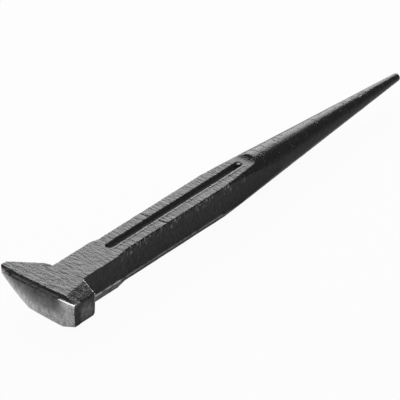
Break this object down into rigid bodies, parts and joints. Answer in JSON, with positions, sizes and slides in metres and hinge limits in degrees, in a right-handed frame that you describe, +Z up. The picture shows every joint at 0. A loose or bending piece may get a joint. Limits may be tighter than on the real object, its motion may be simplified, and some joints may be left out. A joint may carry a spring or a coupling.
{
  "type": "peening anvil",
  "caption": "One-piece forged peening anvil: crowned working face on a cross head with a long wing, grooved square shank and a conical driving spike.",
  "frame": {"origin": "on the flat underside, midway across the bar, at the shoulder where the neck starts to narrow to the shank", "axes": "+X along the bar towards the tip of the spike, +Y towards the long wing of the head, +Z up, square to the underside, towards the grooved top"},
  "size_m": [0.3198, 0.0538, 0.021],
  "materials": {
    "black_forging": "satin black lacquer over forge scale",
    "ground_steel": "ground and polished working face"
  },
  "bodies": {
    "root": {"working_face": "ground_steel", "head": "black_forging", "neck": "black_forging", "shank": "black_forging", "spike": "black_forging"}
  },
  "joints": []
}
